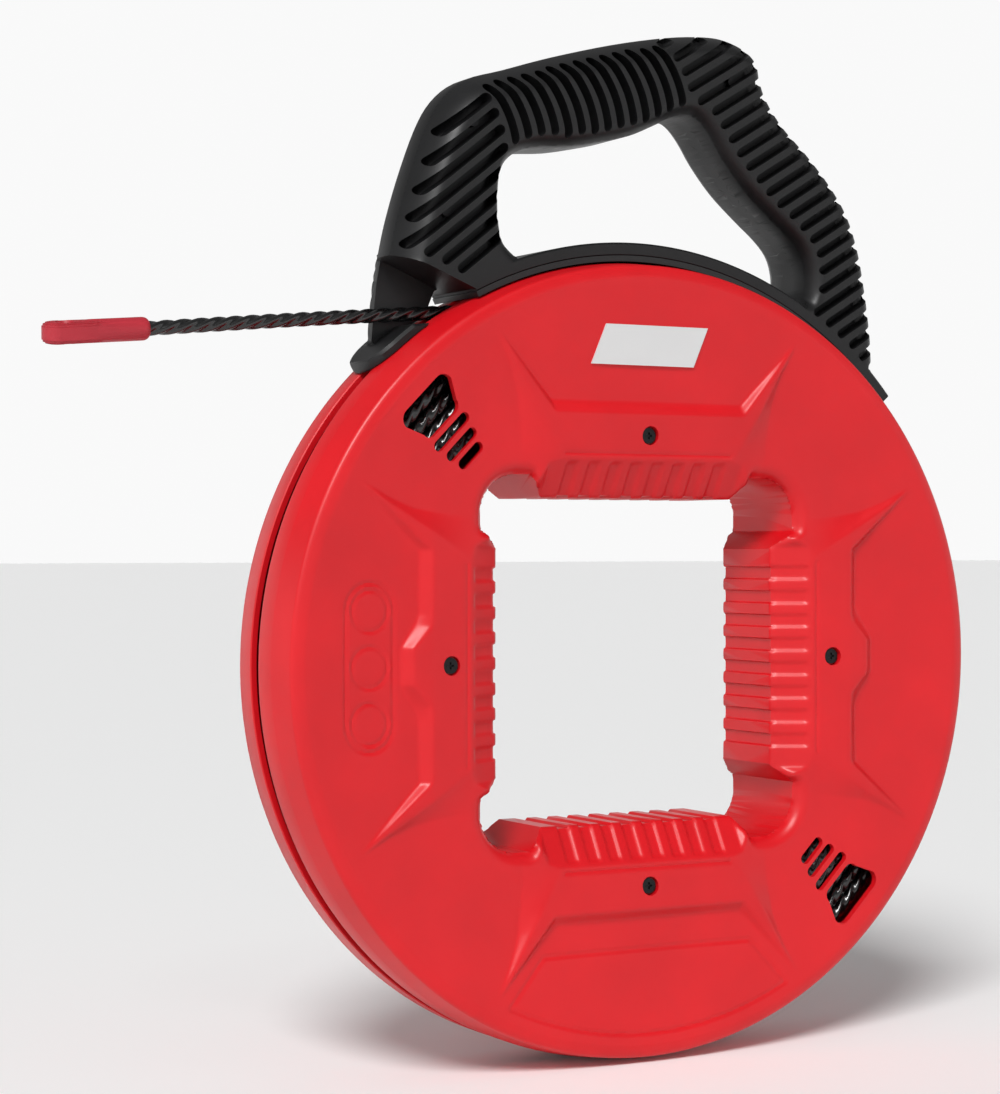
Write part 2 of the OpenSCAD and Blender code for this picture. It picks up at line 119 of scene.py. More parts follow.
def height_block(xs, zs, front, back, name="tool"):
    """A solid between the surface y = front over a grid of xs and zs and the plane y = back."""
    nx, nz = len(xs), len(zs)
    points = np.stack([np.repeat(xs, nz), front.ravel(), np.tile(zs, nx)], 1).tolist()
    faces = [
        (i * nz + j, (i + 1) * nz + j, (i + 1) * nz + j + 1, i * nz + j + 1)
        for i in range(nx - 1) for j in range(nz - 1)
    ]
    c = len(points)
    corners = ((xs[0], zs[0]), (xs[-1], zs[0]), (xs[-1], zs[-1]), (xs[0], zs[-1]))
    points += [(x, back, z) for x, z in corners]
    faces += [
        [i * nz for i in range(nx)] + [c + 1, c],
        [(nx - 1) * nz + j for j in range(nz)] + [c + 2, c + 1],
        [i * nz + nz - 1 for i in reversed(range(nx))] + [c + 3, c + 2],
        [j for j in reversed(range(nz))] + [c, c + 3],
        [c, c + 1, c + 2, c + 3],
    ]
    return mesh(name, points, faces)


def tube(path, sections):
    """Points and faces of a tube along a path, with a section of (across, up) for each place on it."""
    path = np.asarray(path, float)
    ahead = np.gradient(path, axis=0)
    ahead /= np.linalg.norm(ahead, axis=1)[:, None]
    side = np.array([0.0, 1.0, 0.0])
    points = []
    for p, d, section in zip(path, ahead, sections):
        up = np.cross(side, d)
        points += [p + side * a + up * b for a, b in section]
    return points, ring_faces(len(path), len(sections[0]))


def polar(r, degrees):
    """X and Z of a point at a radius and an angle from +X."""
    return (r * math.cos(math.radians(degrees)), r * math.sin(math.radians(degrees)))


def arc(r, a0, a1, steps, centre=(0, 0)):
    """Points along an arc, both ends included."""
    return [
        (centre[0] + x, centre[1] + z)
        for x, z in (polar(r, a0 + (a1 - a0) * i / steps) for i in range(steps + 1))
    ]


def smooth_curve(points, steps):
    """An open smooth curve through its points."""
    p = [np.array(q, float) for q in [points[0], *points, points[-1]]]
    out = []
    for a, b, c, d in zip(p, p[1:], p[2:], p[3:]):
        for k in range(steps):
            t = k / steps
            out.append(0.5 * (2 * b + (c - a) * t + (2 * a - 5 * b + 4 * c - d) * t * t
                              + (3 * b - a - 3 * c + d) * t ** 3))
    return [tuple(q) for q in out] + [tuple(p[-1])]


def distance(x, z, line, closed=True):
    """Distance of each point of a grid to a line of points."""
    ends = zip(line, [*line[1:], line[0]] if closed else line[1:])
    best = np.full(x.shape, 1e9)
    for (x0, z0), (x1, z1) in ends:
        dx, dz = x1 - x0, z1 - z0
        t = np.clip(((x - x0) * dx + (z - z0) * dz) / max(dx * dx + dz * dz, 1e-9), 0, 1)
        best = np.minimum(best, np.hypot(x - x0 - t * dx, z - z0 - t * dz))
    return best


def rounded_drop(d, radius):
    """How far a rounded edge of that radius has dropped at distance d from the edge's side."""
    inside = np.clip(radius - d, 0, radius)
    return radius - np.sqrt(radius ** 2 - inside ** 2)


def soften(grid, rounds):
    """Rounds every crease of a height grid a little."""
    for _ in range(rounds):
        padded = np.pad(grid, 1, mode="edge")
        grid = (4 * grid + padded[2:, 1:-1] + padded[:-2, 1:-1] + padded[1:-1, 2:] + padded[1:-1, :-2]) / 8
    return grid


def dress(obj, body, material, slot_name, *nodes, sharp=35):
    """Gives a finished piece its material, shading, body and the CAD nodes it stands for."""
    obj.data.materials.clear()
    obj.data.materials.append(material)
    obj.data.shade_smooth()
    obj.data.set_sharp_from_angle(angle=math.radians(sharp))
    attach(obj, body)
    if nodes:
        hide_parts(*nodes)
    return obj


# ---------- materials ----------

def moulded(name, colour, roughness, grain_mm, grain, metallic=0.0, coat=0.0, mottle=0.06, specular=0.5):
    """A moulded or coated surface: uneven tone and gloss at two scales over a fine grain."""
    material = bpy.data.materials.new(name)
    material.use_nodes = True
    nodes, links = material.node_tree.nodes, material.node_tree.links
    shader = nodes["Principled BSDF"]
    shader.inputs["Metallic"].default_value = metallic
    shader.inputs["Specular IOR Level"].default_value = specular
    shader.inputs["Coat Weight"].default_value = coat
    shader.inputs["Coat Roughness"].default_value = 0.12
    place = nodes.new("ShaderNodeTexCoord")

    def noise(size_mm, detail):
        node = nodes.new("ShaderNodeTexNoise")
        node.inputs["Scale"].default_value = 1 / (size_mm * MM)
        node.inputs["Detail"].default_value = detail
        links.new(place.outputs["Object"], node.inputs["Vector"])
        return node.outputs["Fac"]

    tone = nodes.new("ShaderNodeValToRGB")
    tone.color_ramp.elements[0].position, tone.color_ramp.elements[1].position = 0.3, 0.7
    tone.color_ramp.elements[0].color = (*[c * (1 - mottle) for c in colour], 1)
    tone.color_ramp.elements[1].color = (*[min(1, c * (1 + mottle)) for c in colour], 1)
    links.new(noise(34, 3), tone.inputs["Fac"])
    links.new(tone.outputs["Color"], shader.inputs["Base Color"])
    gloss = nodes.new("ShaderNodeMapRange")
    gloss.inputs["To Min"].default_value = roughness - 0.05
    gloss.inputs["To Max"].default_value = roughness + 0.05
    links.new(noise(9, 4), gloss.inputs["Value"])
    links.new(gloss.outputs["Result"], shader.inputs["Roughness"])
    bump = nodes.new("ShaderNodeBump")
    bump.inputs["Strength"].default_value = grain
    bump.inputs["Distance"].default_value = 0.05 * MM
    links.new(noise(grain_mm, 2), bump.inputs["Height"])
    links.new(bump.outputs["Normal"], shader.inputs["Normal"])
    return material


red_plastic = moulded("red_plastic", (0.6, 0.005, 0.01), 0.36, 0.7, 0.25, specular=0.4)
grip_plastic = moulded("grip_plastic", (0.006, 0.006, 0.0065), 0.42, 0.6, 0.5, specular=0.4)
rail_plastic = moulded("rail_plastic", (0.006, 0.006, 0.0065), 0.36, 0.9, 0.3)
tape_gloss = moulded("tape_gloss", (0.003, 0.003, 0.0032), 0.26, 2.0, 0.3, coat=0.6)
tip_plastic = moulded("tip_plastic", (0.42, 0.016, 0.03), 0.5, 0.6, 0.5)
black_metal = moulded("black_metal", (0.012, 0.012, 0.013), 0.35, 0.5, 0.3, metallic=0.6)
plain_steel = moulded("plain_steel", (0.56, 0.57, 0.58), 0.3, 0.8, 0.3, metallic=1.0)
white_print = moulded("white_print", (0.62, 0.62, 0.62), 0.45, 0.8, 0.2, mottle=0.02)


# ---------- tape line, cord first ----------

LEAD_ANGLE = math.radians(4.8)
LEAD_H = 144.0
TAPE_D = 5.7
LEAD_IN, LEAD_OUT, TIP_SOCKET = 58.0, 191.0, 12.0
STRANDS = 4
STRAND_LAY = 28.0
EXIT_AT, SAG, SAG_RUN = 80.0, 1.0, 110.0


def on_line(s, drop=0.0):
    """The point of the tape line at s from the place nearest the reel axis, outwards, and drop below it."""
    h = LEAD_H - drop
    return (-s * math.cos(LEAD_ANGLE) - h * math.sin(LEAD_ANGLE), 0.0,
            -s * math.sin(LEAD_ANGLE) + h * math.cos(LEAD_ANGLE))


def strand_section(turned, sides=24):
    """Section of the twisted tape, turned by an angle in degrees."""
    strand_r = TAPE_D / 2 * 0.44
    centre_r = TAPE_D / 2 - strand_r
    out = []
    for k in range(sides):
        a = 2 * math.pi * k / sides
        part = 2 * math.pi / STRANDS
        off = (a - math.radians(turned) + part / 2) % part - part / 2
        r = centre_r * math.cos(off) + math.sqrt(max(strand_r ** 2 - (centre_r * math.sin(off)) ** 2, 0))
        out.append((r * math.cos(a), r * math.sin(a)))
    return out


lead_steps = 150
lead_path = [
    on_line(s, SAG * ((s - EXIT_AT) / SAG_RUN) ** 2 if s > EXIT_AT else 0)
    for s in np.linspace(LEAD_IN, LEAD_OUT + TIP_SOCKET, lead_steps)
]
lead_length = float(np.linalg.norm(np.diff(lead_path, axis=0), axis=1).sum())
twist = [360 * lead_length * i / (lead_steps - 1) / STRAND_LAY for i in range(lead_steps)]
tape_line = mesh("tape_line", *tube(lead_path, [strand_section(a) for a in twist]))
dress(tape_line, "tape", tape_gloss, "tape_black", "tape_leader", sharp=70)

# the tip: a round shank with a rounded rear, and a flat end with an eye
TIP_LEN, TIP_D, EYE_W, EYE_T, EYE_D, EYE_ROLL = 41.5, 8.8, 11.0, 8.0, 5.0, 12.0
TIP_SIDES = 32
shank_len = TIP_LEN - 14
shank_profile = [
    (0.6 + 2.4 * (1 - math.cos(a)), TIP_D / 2 - 1.6 + 1.6 * math.sin(a))
    for a in np.linspace(0, math.pi / 2, 7)
] + [(shank_len - 4, TIP_D / 2), (shank_len, TIP_D / 2 - 0.4), (shank_len + 2.5, TIP_D / 2 - 2.2)]
rings = [(0.6, TAPE_D / 2 - 0.3), *shank_profile]
round_tip = np.linspace(0, 2 * math.pi, TIP_SIDES + 1)[:-1]
tip_points = [(u, r * math.cos(a), r * math.sin(a)) for u, r in rings for a in round_tip]
tip = mesh("tape_end", tip_points, ring_faces(len(rings), TIP_SIDES))


def eye_plate(inset, t0, t1):
    """A slice of the flat end, drawn in by inset, between two heights."""
    half = EYE_W / 2 - inset
    outline = [(x + TIP_LEN - EYE_W / 2, z) for x, z in arc(half, -90, 90, 20)]
    outline += [(shank_len - 5, half - 0.8), (shank_len - 8, half - 1.8), (shank_len - 8, 1.8 - half),
                (shank_len - 5, 0.8 - half)]
    points = [(u, v, t) for t in (t0, t1) for u, v in outline]
    return mesh("tool", points, ring_faces(2, len(outline)))


# the flat end's edges are rounded in steps, each an inset and how much thinner it is on a side
for inset, thinner in ((0.0, 1.6), (0.45, 0.8), (1.3, 0.2), (2.2, 0.0)):
    half_t = EYE_T / 2 - thinner
    combine(tip, eye_plate(inset, -half_t, half_t), operation="UNION")
eye_u = TIP_LEN - EYE_W / 2 - 3
eye_rings = [(EYE_D / 2 + 1.2, -EYE_T / 2 - 0.3), (EYE_D / 2, 1.2 - EYE_T / 2), (EYE_D / 2, EYE_T / 2 - 1.2),
             (EYE_D / 2 + 1.2, EYE_T / 2 + 0.3)]
eye_points = [(eye_u + r * math.cos(a), r * math.sin(a), t)
              for r, t in eye_rings for a in round_tip]
combine(tip, mesh("tool", eye_points, ring_faces(len(eye_rings), TIP_SIDES)))
tip.data.transform(
    Matrix.Translation(Vector(on_line(LEAD_OUT, SAG)) * MM) @ Matrix.Rotation(-LEAD_ANGLE, 4, "Y")
    @ Matrix.Rotation(math.pi, 4, "Z") @ Matrix.Rotation(-math.radians(EYE_ROLL), 4, "X"))
dress(tip, "tape", tip_plastic, "tip_red", "tape_tip", sharp=50)


# ---------- case ----------

FACE_GRID, GRID_HALF = 0.8, 161
PANEL_TOP = ((65, 81, 98.8, 129), (25.1, 26.9, 28.9, 29.4))
DISH = ((60, 104.8, 120, 158), (24.0, 25.2, 26.3, 30.4))
CREST, HORN = (41.0, 81.0), (70.0, 129.0)
PANEL_HALF, PANEL_OUT, STEP_OUT = 44.5, 98.8, 103.0
SLOPE_WIDTH = ((68, 77.5, 89, 105, 117, 129), (18, 15.5, 10.4, 3.9, 1.2, 0.4))
BEVEL_TOP, BEVEL_FALL = 80.5, 0.577
GRIP_HALF, GRIP_LEN, POCKET, POCKET_R = 65.0, 45.0, 74.0, 16.0
SLOT_HALF, SLOT_DEEP = 2.5, 1.1
SLOT_COUNT, SLOT_STEP = 8, 9.9
slot_centres = [(i - (SLOT_COUNT - 1) / 2) * SLOT_STEP for i in range(SLOT_COUNT)]
SCREW_R, RECESS_D, HEAD_SEAT = 90.0, 7.6, 25.0


def turn(p, degrees):
    """A point turned about the reel axis, towards +Z from +X."""
    c, s = math.cos(math.radians(degrees)), math.sin(math.radians(degrees))
    return (p[0] * c - p[1] * s, p[0] * s + p[1] * c)


def local(k, x, z):
    """Along and outward coordinates of panel k: top, right, bottom, left."""
    return ((x, z), (-z, x), (-x, -z), (z, -x))[k]


def opening_outline():
    """The winding opening: corner pockets and four grips with slots across them."""
    corner = POCKET - POCKET_R
    quarter = [(GRIP_LEN + 7.2, POCKET), *arc(POCKET_R, 90, 0, 12, (corner, corner))]
    quarter += [(POCKET, GRIP_LEN + 7.2), (GRIP_HALF + 1, GRIP_LEN + 0.8), (GRIP_HALF, GRIP_LEN - 0.4)]
    for c in reversed(slot_centres):
        quarter += [(GRIP_HALF, c + SLOT_HALF + 0.3), (GRIP_HALF + SLOT_DEEP, c + SLOT_HALF - 0.3),
                    (GRIP_HALF + SLOT_DEEP, c - SLOT_HALF + 0.3), (GRIP_HALF, c - SLOT_HALF - 0.3)]
    quarter += [(GRIP_HALF, 0.4 - GRIP_LEN), (GRIP_HALF + 1, -0.8 - GRIP_LEN)]
    return [turn(p, -90 * k) for k in range(4) for p in quarter]


def max_over(grids):
    """The greatest value of several grids, point by point."""
    best = None
    for grid in grids:
        best = grid if best is None else np.maximum(best, grid)
    return best


def winding_slots(t, n):
    """Share of full depth of the slots across a grip's slope."""
    across = max_over(np.clip((SLOT_HALF + 0.3 - np.abs(t - c)) / 0.6, 0, 1) for c in slot_centres)
    return across * np.clip((BEVEL_TOP - 1.2 - n) / 0.8, 0, 1)


def groove(d, half_width, deep):
    """Depth of a fine engraved line at distance d from its middle."""
    return deep * np.clip(1 - (d / half_width) ** 2, 0, 1)


def edge_drop(x, z, outline):
    """The roll of the face into the winding opening: tight along the grips, wide in the pockets."""
    radius = np.interp(np.minimum(np.abs(x), np.abs(z)), (GRIP_LEN, GRIP_LEN + 9), (1.4, 6.0))
    return rounded_drop(distance(x, z, outline), radius)


def face_depth(x, z, outline):
    """Depth of the front face: the dish, four raised panels with their slopes, slots and engraved lines."""
    dish = np.interp(np.hypot(x, z), *DISH)
    depth = dish.copy()
    run, rise = HORN[0] - CREST[0], HORN[1] - CREST[1]
    for k in range(4):
        t, n = local(k, x, z)
        a = np.abs(t)
        top = np.interp(n, *PANEL_TOP)
        beside = ((a - CREST[0]) * rise - (n - CREST[1]) * run) / math.hypot(run, rise)
        past = np.clip((a - PANEL_HALF) / (HORN[0] - PANEL_HALF), 0, 1)
        border = PANEL_OUT + past * (HORN[1] - PANEL_OUT)
        foot = STEP_OUT + past * (HORN[1] + 0.4 - STEP_OUT)
        if k % 2:
            border = np.maximum(border, np.interp(a, (7, 15.5, 16), (107, 98.8, 98.8)))
            foot = np.maximum(foot, np.interp(a, (7, 17, 20), (111, 104.5, 103)))
        share = np.minimum(np.clip(1 - beside / np.interp(n, *SLOPE_WIDTH), 0, 1),
                           np.clip((foot - n) / (foot - border), 0, 1))
        raised = dish + (top - dish) * share
        slope = 26.9 - (BEVEL_TOP - n) * BEVEL_FALL + np.clip(a - GRIP_LEN - 0.5, 0, None) * 0.9
        raised = np.minimum(raised, slope) - SLOT_DEEP * winding_slots(t, n)
        depth = np.where(n > a, raised, depth)
    depth = soften(depth, 1)
    for k in range(4):
        t, n = local(k, x, z)
        depth -= groove(n - 82.6, 0.9, 0.45) * (np.abs(t) < 40)
    t, n = local(3, x, z)
    pill = np.hypot(np.clip(np.abs(t) - 21.5, 0, None), n - 124.6) - 10.5
    depth -= groove(pill, 1.0, 0.6)
    for c in (-21.3, 0, 21.3):
        depth -= groove(np.hypot(t - c, n - 124.6) - 7.8, 1.0, 0.55)
    t, n = local(2, x, z)
    field = [(-48.7, 115), (48.7, 115), *arc(148.2, 64, 116, 24)]
    depth -= groove(distance(t, n, field), 1.0, 0.6)
    return depth - edge_drop(x, z, outline)


def back_depth(x, z, outline):
    """Depth of the back face: flat, with the same slopes to the winding grips and a shallow ring."""
    depth = np.full(x.shape, 26.0)
    depth -= 0.7 * np.clip((12 - np.abs(np.hypot(x, z) - 121)) / 0.8, 0, 1)
    for k in range(4):
        t, n = local(k, x, z)
        slope = 26 - (BEVEL_TOP - n) * BEVEL_FALL + np.clip(np.abs(t) - GRIP_LEN - 0.5, 0, None) * 0.9
        depth = np.where(n > np.abs(t), np.minimum(depth, slope) - SLOT_DEEP * winding_slots(t, n), depth)
    return soften(depth, 2) - edge_drop(x, z, outline)


def window_outlines():
    """The window and its three slots, their middle towards +Z."""
    outlines = [
        arc(4.5, 0, 90, 8, (9.2, 142.2)) + arc(4.5, 90, 180, 8, (-9.2, 142.2))
        + arc(3.5, 180, 270, 6, (-6.4, 134.4)) + arc(3.5, 270, 360, 6, (6.4, 134.4))
    ]
    for r, length in ((126.7, 20), (120.1, 17), (114.1, 13.5)):
        half = (length - 4.4) / 2
        outlines.append(arc(2.2, -90, 90, 8, (half, r)) + arc(2.2, 90, 270, 8, (-half, r)))
    return outlines


def cylinder(x, z, d, y0, y1, sides=48):
    """A round bar along Y between two depths."""
    return prism([(x + u, z + v) for u, v in arc(d / 2, 0, 360, sides)[:-1]], y0, y1)


def case_half(name, depth_of, side, rim, cavity):
    """One moulded half: a height field trimmed by the rim's profile, hollowed for the tape."""
    span = np.linspace(-GRID_HALF, GRID_HALF, round(2 * GRID_HALF / FACE_GRID) + 1)
    x, z = np.meshgrid(span, span, indexing="ij")
    outline = opening_outline()
    half = height_block(span, span, side * depth_of(x, z, outline), 0.0, name)
    combine(half, lathe(rim), operation="INTERSECT")
    combine(half, prism(outline, -40, 40), lathe(cavity))
    return half


case_front = case_half(
    "case_front", face_depth, -1,
    [(50, 1), (152, 1), (152, -3.5), (159.6, -3.5), (160, -3.9), (160, -14.9), (159.8, -15.4), (158.1, -27.4),
     (157.7, -28.3), (156.9, -28.9), (155.6, -29.35), (154, -29.65), (151, -30.1), (145, -34), (50, -34)],
    [(104.5, 1), (104.5, -22.5), (148, -26.4), (155.5, -24.8), (157.5, -19), (157.5, 1)])
WINDOW_ANGLES = (135, 315)
for degrees in WINDOW_ANGLES:
    for outline in window_outlines():
        combine(case_front, prism([turn(p, degrees - 90) for p in outline], -40, -15))
for k in range(4):
    combine(case_front, cylinder(*turn((0, SCREW_R), 90 * k), RECESS_D, -40, -HEAD_SEAT))
dress(case_front, "case", red_plastic, "case_red", "front_shell", sharp=38)

case_back = case_half(
    "case_back", back_depth, 1,
    [(50, -1), (152, -1), (152, 3.5), (159.6, 3.5), (160, 3.9), (160, 13.4), (159.5, 14.6), (149.3, 24.9),
     (147.8, 25.8), (146, 26), (142, 30), (50, 30)],
    [(104.5, -1), (104.5, 22.9), (146, 22.9), (157.5, 12), (157.5, -1)])
dress(case_back, "case", red_plastic, "case_red", "back_shell", sharp=38)


# ---------- wound tape ----------

COIL_IN, COIL_OUT, TRACK_R = 112, 150.5, 140.5
TURN_STEP, COLUMNS, COLUMN_STEP = 5.72, 7, 6.1
FINE_HALF, TURN_SIDES = 11, 16


def ring_tube(r, y, phase, fine):
    """One turn of tape, its strands drawn where a window shows them."""
    def from_window(a):
        return min(abs(a - c) for c in WINDOW_ANGLES)

    angles = list(np.arange(0, 360, 4.0))
    if fine:
        angles = [a for a in angles if from_window(a) > FINE_HALF]
        angles += [c + d for c in WINDOW_ANGLES for d in np.arange(-FINE_HALF, FINE_HALF + 0.1, 0.4)]
    angles = sorted(angles)
    points = []
    for a in angles:
        e = (math.cos(math.radians(a)), math.sin(math.radians(a)))
        near = fine and from_window(a) <= FINE_HALF
        turned = phase + 360 * math.radians(a) * r / STRAND_LAY if near else 0
        section = strand_section(turned, TURN_SIDES) if near else arc(TAPE_D / 2, 0, 337.5, TURN_SIDES - 1)
        points += [((r + v) * e[0], y + u, (r + v) * e[1]) for u, v in section]
    return points, ring_faces(len(angles), TURN_SIDES, closed=True)


coil_points, coil_faces, wound_length = [], [], 0.0
for column in range(COLUMNS):
    y = (column - (COLUMNS - 1) / 2) * COLUMN_STEP
    top = TRACK_R if abs(y) < 9 else COIL_OUT - 1.2
    rows = int((top - COIL_IN) / TURN_STEP)
    for row in range(rows):
        r = top - TAPE_D / 2 - row * TURN_STEP
        points, faces = ring_tube(r, y, 47 * row + 31 * column, column < 3)
        coil_faces += [tuple(i + len(coil_points) for i in f) for f in faces]
        coil_points += points
        wound_length += 2 * math.pi * r
wound_tape = mesh("wound_tape", coil_points, coil_faces)
dress(wound_tape, "case", tape_gloss, "tape_black", "tape_coil", sharp=70)
print("wound tape, metres:", round(wound_length * MM, 2))

bend_path = [on_line(s) for s in np.linspace(LEAD_IN, 1, 40)]
bend_path += [(LEAD_H * math.cos(a), 0, LEAD_H * math.sin(a))
              for a in np.linspace(math.pi / 2 + LEAD_ANGLE, math.pi / 2 + LEAD_ANGLE - 0.2, 20)]
bend_along = [0.0, *np.cumsum(np.linalg.norm(np.diff(bend_path, axis=0), axis=1))]
bend_sections = [strand_section(360 * b / STRAND_LAY) for b in bend_along]
tape_bend = mesh("tape_bend", *tube(bend_path, bend_sections))
dress(tape_bend, "handle", tape_gloss, "tape_black", "tape_feed", sharp=70)


# ---------- handle ----------

HALF_W, BAND_R, BAND_OUT, RAIL_R = 18.4, 162.8, 168.0, 160.4
OUTER = smooth_curve([
    (-105.5, 158.5), (-102.5, 172), (-97, 190), (-89.5, 209.5), (-82.3, 221.3), (-71.8, 229.5),
    (-55.3, 234.7), (-33.2, 241.7), (-5, 249.2), (20, 254.2), (38, 256.2), (48.7, 255.7), (57.6, 252.6),
    (63.2, 247), (65, 239.5), (68.5, 232), (76.5, 222.3), (88.4, 212), (100.4, 199.8), (109.4, 187.4),
    (115.4, 172.4), (119.2, 155), (121.8, 138), (122.6, 128), (122.8, 118.5)], 4)
GAP = smooth_curve([
    (-55.5, 162), (-59, 165.5), (-60.4, 170), (-61.2, 177), (-61.2, 184), (-60.3, 192), (-57.3, 198),
    (-51, 202.3), (-42, 204.5), (-28, 205.8), (-14, 208.5), (0, 212), (12, 217.2), (21, 221.4), (28, 222.8),
    (33.4, 220.7), (39, 215), (45.8, 205.3), (55.9, 193.9), (68, 183.7), (77.9, 176), (84.2, 169.3),
    (86.7, 162), (86.8, 154), (85.5, 150)], 4)
RIDGE = [(-105.5, 158.5), (-63, 141.4)]
RIB_DEEP = 8.0
BARS = 14
SCREWS = [(-84, 176), (-72, 212), (8, 231), (50, 238), (93, 188), (106, 148)]
SCREW_POST_D, SCREW_HOLE_D = 13, 8.3
grip_ring = list(reversed(OUTER)) + arc(BAND_R - 8, 114, 46, 12)
gap_ring = list(reversed(GAP)) + arc(BAND_R - 14, 110, 60, 8)
rolled_ring = list(reversed(OUTER)) + [(-108.5, 146), (-70, 100), (90, 80), (124, 108)]


def within(ring, x, z):
    """Whether each point of a grid lies inside a closed ring of points."""
    hit = np.zeros(x.shape, bool)
    for (x0, z0), (x1, z1) in zip(ring, ring[1:] + ring[:1]):
        crosses = (z0 > z) != (z1 > z)
        hit ^= crosses & (x < (x1 - x0) * (z - z0) / (z1 - z0 if z1 != z0 else 1) + x0)
    return hit


def roll(d, width, height):
    """How far a rolled edge of that width and height has dropped at distance d inside its outline."""
    return height * (1 - np.clip(d / width, -0.3, 1)) ** 2.4


def grip_depth(x, z, sunk):
    """Depth of the rolled grip at a point, sunk below its surface."""
    outer, gap = distance(x, z, OUTER, False), distance(x, z, GAP, False)
    inside = within(rolled_ring, x, z) & ~within(gap_ring, x, z)
    outer_side = np.where(inside | (gap < outer), outer, -outer)
    gap_side = np.where(inside | (outer < gap), gap, -gap)
    width, height = np.interp(x, (-60, 20), (13, 9)), np.interp(x, (-60, 20), (13.4, 10))
    sunk *= 1 - (1 - np.clip(outer_side / 6, 0.25, 1)) * np.interp(x, (20, 60), (0, 1))
    return HALF_W - np.maximum(roll(outer_side, width, height), roll(gap_side, 6.5, 7)) - sunk


def bar_line(i):
    """Middle of the curved slot i across the top bar, from its upper end to its lower end."""
    start = np.array((-71.5, 229.0)) + np.array((78.1, 21.4)) * i / (BARS - 1)
    chord = np.array((15.5, -26.5))
    across = np.array((26.5, 15.5)) / math.hypot(26.5, 15.5)
    return [tuple(start + chord * t + across * 3.2 * 4 * t * (1 - t)) for t in np.linspace(-0.1, 1.1, 40)]


def slant_line(degrees, offset):
    """A straight line at an angle, offset across it from the axis."""
    c, s = math.cos(math.radians(degrees)), math.sin(math.radians(degrees))
    return [(u * c - offset * s, u * s + offset * c) for u in np.arange(-60, 300, 0.6)]


def kept_run(line, keep):
    """The longest stretch of a line on which keep holds."""
    best, run = [], []
    for p, ok in zip(line, keep):
        run = [*run, p] if ok else []
        best = run if len(run) > len(best) else best
    return best


def slot_outline(line, width):
    """A slot with rounded ends along a line."""
    p = np.asarray(line)
    ahead = np.gradient(p, axis=0)
    ahead /= np.linalg.norm(ahead, axis=1)[:, None]
    across = np.stack([-ahead[:, 1], ahead[:, 0]], 1) * width / 2
    angle0 = math.degrees(math.atan2(ahead[0][1], ahead[0][0]))
    angle1 = math.degrees(math.atan2(ahead[-1][1], ahead[-1][0]))
    start = arc(width / 2, angle0 + 90, angle0 + 270, 6, tuple(p[0]))
    end = arc(width / 2, angle1 - 90, angle1 + 90, 6, tuple(p[-1]))
    step = max(1, len(p) // 12)
    near_side = [tuple(q) for q in (p - across)[step:-1:step]]
    far_side = [tuple(q) for q in (p + across)[step:-1:step][::-1]]
    return start + near_side + end + far_side


def on_grip(x, z):
    """Whether points lie in the grip's outline, outside the hand gap and above the band."""
    return within(grip_ring, x, z) & ~within(gap_ring, x, z) & (np.hypot(x, z) > BAND_OUT + 1)


def rib_slots():
    """Outlines of every slot between the ribs of the left leg, the top bar and the right leg."""
    first, last = bar_line(0), bar_line(BARS - 1)
    slots = []

    def add(line, width, margin_out, margin_gap, zone):
        x, z = (np.array(v) for v in zip(*line))
        keep = on_grip(x, z) & (distance(x, z, OUTER, False) > margin_out)
        keep &= (distance(x, z, GAP, False) > margin_gap) & zone(x, z)
        run = kept_run(line, keep)
        if len(run) > 6:
            slots.append(slot_outline(run, width))

    def left_of(line, x, z):
        p = np.asarray(line)[::-1]
        return x < np.interp(z, p[:, 1], p[:, 0])

    def on_left_leg(x, z):
        beside_bars = left_of([(a - 5.6, b) for a, b in first], x, z)
        return (x < -50) & beside_bars & (distance(x, z, RIDGE, False) > 4.5)

    for i in range(8):
        add(slant_line(38, 216.5 - 6.57 * i), 4.1, 3.4, 2.0, on_left_leg)
    for i in range(BARS):
        add(bar_line(i), 3.7, 4.8, 4.4, lambda x, z: x < 60)
    for i in range(28):
        add(slant_line(31, 213.5 - 6.8 * i), 3.9, 1.6, 5.4,
            lambda x, z: (x > 0) & ~left_of([(a + 5.6, b) for a, b in last], x, z))
    return slots


def prisms(outlines, y0, y1):
    """Separate prisms as one tool."""
    points, faces = [], []
    for outline in outlines:
        faces += [tuple(len(points) + i for i in f) for f in ring_faces(2, len(outline))]
        points += [(x, y, z) for y in (y0, y1) for x, z in outline]
    return mesh("tool", points, faces)


def grip_block(sunk, name="tool"):
    """The front half of the grip without its ribs' slots, its surface sunk by a depth."""
    xs, zs = np.arange(-112, 130, 0.85), np.arange(110, 262, 0.85)
    x, z = np.meshgrid(xs, zs, indexing="ij")
    block = height_block(xs, zs, np.minimum(-grip_depth(x, z, sunk), -0.2), 0.0, name)
    combine(block, prism(grip_ring, -HALF_W - 2, 2), operation="INTERSECT")
    below_band = lathe([(100, -30), (BAND_R + 1, -30), (BAND_R + 1, 30), (100, 30)])
    combine(block, prism(gap_ring, -HALF_W - 3, 3), below_band)
    return block


def grip_half(name):
    """The front half of the handle: the ribbed grip on its band."""
    half = combine(grip_block(0.0, name), prisms(rib_slots(), -HALF_W - 4, 4))
    combine(half, grip_block(RIB_DEEP), operation="UNION")
    edge = 0.8
    band = lathe([
        (BAND_R, 0), (BAND_R, edge / 2 - HALF_W), (BAND_R + edge / 2, -HALF_W),
        (BAND_OUT - edge, -HALF_W), (BAND_OUT, edge - HALF_W), (BAND_OUT, 0)], 41, 117, 1.0)
    combine(half, band, operation="UNION")
    return half


